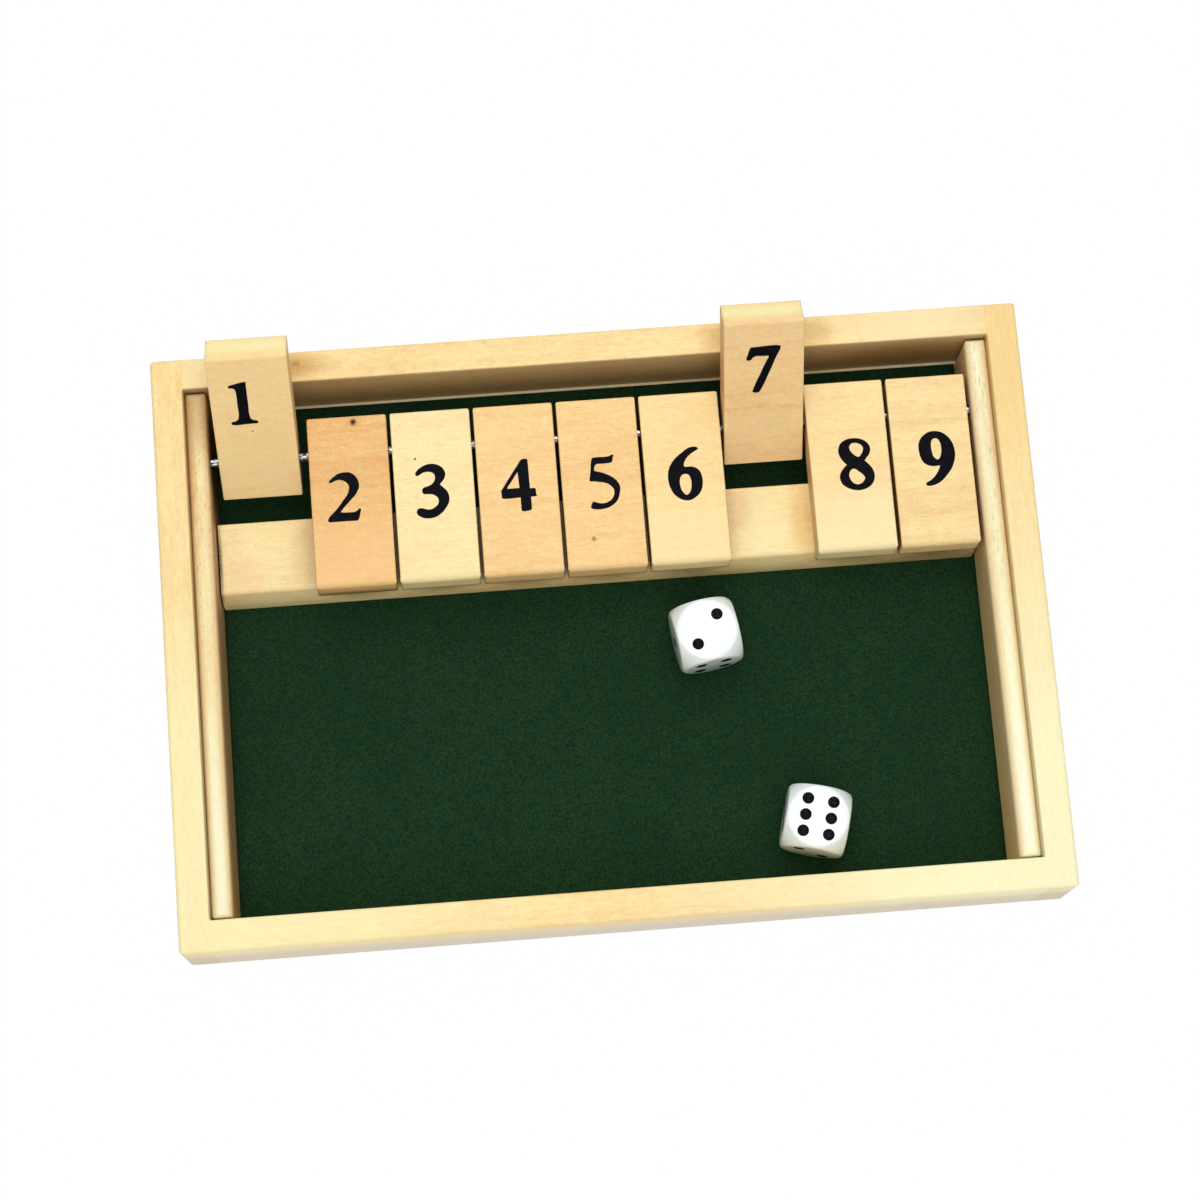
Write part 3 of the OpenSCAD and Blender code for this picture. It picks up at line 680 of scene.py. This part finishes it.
ink, start = new_material("black_ink")
place = in_mm(start)
patch = clouds(start, place, 0.8, 4, 0.65)
fibre = clouds(start, start.vector("MULTIPLY", place, (0.2, 3.0, 3.0)), 1.0, 3)
surface(start, {
    "Base Color": start.mixed(patch.eased(0.4, 0.75), srgb(7, 7, 12), srgb(19, 18, 26)),
    "Roughness": 0.42 + patch * 0.2, "Specular IOR Level": 0.04,
    "Normal": bump(start, 0.7, 0.03, patch * 0.5 + fibre * 0.5)})


def numeral_film(number):
    """The numeral as a thin film of ink with its foot on the X axis, in mm."""
    drawing = bpy.data.curves.new(f"numeral_{number}", "CURVE")
    drawing.dimensions, drawing.fill_mode = "2D", "BOTH"
    drawing.resolution_u = 5
    drawing.extrude = (INK_PROUD + INK_SUNK) / 2
    for outline in NUMERALS[number]:
        steps = outline.split()
        line = drawing.splines.new("BEZIER")
        line.bezier_points.add(len(steps) - 1)
        line.use_cyclic_u = True
        for point, step in zip(line.bezier_points, steps):
            x, y = step.rstrip("!").split(",")
            point.co = (float(x), float(y), 0)
            handle = "VECTOR" if step.endswith("!") else "AUTO"
            point.handle_left_type = point.handle_right_type = handle
    holder = bpy.data.objects.new("numeral_drawing", drawing)
    scene.collection.objects.link(holder)
    bpy.context.view_layer.update()
    film = bpy.data.meshes.new_from_object(
        holder.evaluated_get(bpy.context.evaluated_depsgraph_get()))
    bpy.data.objects.remove(holder)
    bpy.data.curves.remove(drawing)
    film.transform(Matrix.Translation((0, 0, (INK_PROUD - INK_SUNK) / 2)))
    return film


for number in NUMERALS:
    pivot = Vector(swing[f"tile_{number}"]["pos_m"])
    raised = (Matrix.Translation(pivot)
              @ Matrix.Rotation(math.radians(-lift_of(number)), 4, "X")
              @ Matrix.Scale(MM, 4))
    over = Matrix.Translation((0, -FOOT_TOP[number], thick / 2))
    below = (Matrix.Translation((0, -FOOT_UNDER[number], -thick / 2))
             @ Matrix.Rotation(math.pi, 4, "X"))
    film = numeral_film(number)
    both = bpy.data.meshes.new(f"numerals_{number}")
    points, faces = [], []
    for face_place in (over, below):
        base = len(points)
        points += [raised @ face_place @ v.co for v in film.vertices]
        faces += [tuple(base + k for k in p.vertices) for p in film.polygons]
    both.from_pydata(points, [], faces)
    both.validate()
    both.update()
    both.materials.append(ink)
    bpy.data.meshes.remove(film)
    print_on = bpy.data.objects.new(f"numerals_{number}", both)
    scene.collection.objects.link(print_on)
    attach(print_on, f"tile_{number}")


# Dice.
# Two moulded white plastic dice. Each is a cube turned down by a ball, so that its
# corners are round and its faces are flat discs, and tumbled till it shines.
made, start = new_material("white_plastic")
DICE_DARKEST, DICE_CLEAR = 4, 17      # heights between which the dice lose their shade
place = in_mm(start)
swirl = clouds(start, place, 0.25, 3, 0.5, 1.2)
tumbled = clouds(start, place, 3.5, 3, 0.6)
# Painted shade: the dice grow darker and greener towards their feet
depth = 1 - place.part(2).eased(DICE_DARKEST, DICE_CLEAR)
tone = start.mixed(swirl, srgb(245, 254, 251), srgb(250, 255, 254))
tone = start.mixed(depth * 0.85, tone, srgb(104, 142, 138))
surface(start, {
    "Base Color": tone, "Roughness": 0.24 + tumbled * 0.12, "IOR": 1.49,
    "Coat Weight": 0.2, "Coat Roughness": 0.12, "Normal": bump(start, 0.5, 0.02, tumbled)})
for node in ("die_1", "die_2"):
    dress(node, made)


# Pips.
# Each pip is a round dimple with glossy black paint dropped into it, which spreads a
# little over the rim.
PIP_RADIUS, PIP_DEPTH = 1.40, 0.60
PIP_COLUMN, PIP_ROW = 3.2, 4.1                     # PIP_ROW is for the six alone
PAINT, PIP_SPREAD, PIP_SKIN = 0.05, 0.07, 0.012    # in the dimple, past it, on the face
DROP_RINGS, DROP_AROUND = 8, 28
pip_paint, start = new_material("pip_paint")
# The bluish-grey patches in the black paint are painted reflection
patch = clouds(start, in_mm(start), 2.6, 3)
surface(start, {
    "Base Color": start.mixed(patch.eased(0.5, 0.72), srgb(6, 6, 10), srgb(48, 46, 66)),
    "Roughness": 0.20 + patch * 0.12, "Specular IOR Level": 0.06,
    "Normal": bump(start, 0.5, 0.02, patch)})


def pip_places(count):
    """Where the pips of one face stand, from the face's middle, in mm."""
    places = [(0, 0)] if count % 2 else []
    places += [(-1, -1), (1, 1)] if count > 1 else []
    places += [(-1, 1), (1, -1)] if count > 3 else []
    places += [(-1, 0), (1, 0)] if count == 6 else []
    row = PIP_ROW if count == 6 else PIP_COLUMN
    return [(x * PIP_COLUMN, y * row) for x, y in places]


def paint_drop(size):
    """A drop of paint that lines a dimple in the top of a die, in mm."""
    ball = (PIP_RADIUS ** 2 + PIP_DEPTH ** 2) / (2 * PIP_DEPTH)
    middle = size / 2 - PIP_DEPTH + ball
    rings, around = DROP_RINGS, DROP_AROUND
    points = [(0, 0, middle - ball + PAINT)]
    for r in range(1, rings + 1):
        reach = PIP_RADIUS * min(r / (rings - 1), 1) if r < rings else PIP_RADIUS + PIP_SPREAD
        height = size / 2 + PIP_SKIN if r >= rings - 1 else (
            middle - math.sqrt(ball ** 2 - reach ** 2) + PAINT)
        for a in range(around):
            turn = 2 * math.pi * a / around
            points.append((reach * math.cos(turn), reach * math.sin(turn), height))
    faces = [(0, 1 + a, 1 + (a + 1) % around) for a in range(around)]
    for r in range(rings - 1):
        first = 1 + r * around
        for a in range(around):
            b = (a + 1) % around
            faces.append((first + a, first + around + a, first + around + b, first + b))
    return points, faces


# Degrees about X and then Z that lead a die's top to each side: top, bottom, front,
# back, left and right. numbers are the counts on those sides in the same order.
SIDES = [(0, 0), (180, 0), (90, 0), (90, 180), (90, -90), (90, 90)]
for node, turn, numbers, quarter_turns in (
    ("die_1", 9.1, (2, 5, 4, 3, 1, 6), (0, 0, 0, 0, 0, 0)),
    ("die_2", -14.3, (6, 1, 2, 5, 3, 4), (0, 0, 1, 0, 0, 0)),
):
    low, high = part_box(node)
    size = (high.z - low.z) / MM
    stand = (Matrix.Translation((low + high) / 2)
             @ Matrix.Rotation(math.radians(turn), 4, "Z") @ Matrix.Scale(MM, 4))
    points, faces = [], []
    drop_points, drop_faces = paint_drop(size)
    for (tip, spin), count, quarter in zip(SIDES, numbers, quarter_turns):
        side = (Matrix.Rotation(math.radians(spin), 4, "Z")
                @ Matrix.Rotation(math.radians(tip), 4, "X")
                @ Matrix.Rotation(math.radians(90 * quarter), 4, "Z"))
        for x, y in pip_places(count):
            base = len(points)
            points += [stand @ side @ (Vector(p) + Vector((x, y, 0))) for p in drop_points]
            faces += [tuple(base + k for k in f) for f in drop_faces]
    drops = bpy.data.meshes.new("pips_" + node)
    drops.from_pydata(points, [], faces)
    drops.update()
    for face in drops.polygons:
        face.use_smooth = True
    drops.materials.append(pip_paint)
    pips = bpy.data.objects.new("pips_" + node, drops)
    scene.collection.objects.link(pips)
    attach(pips, node)
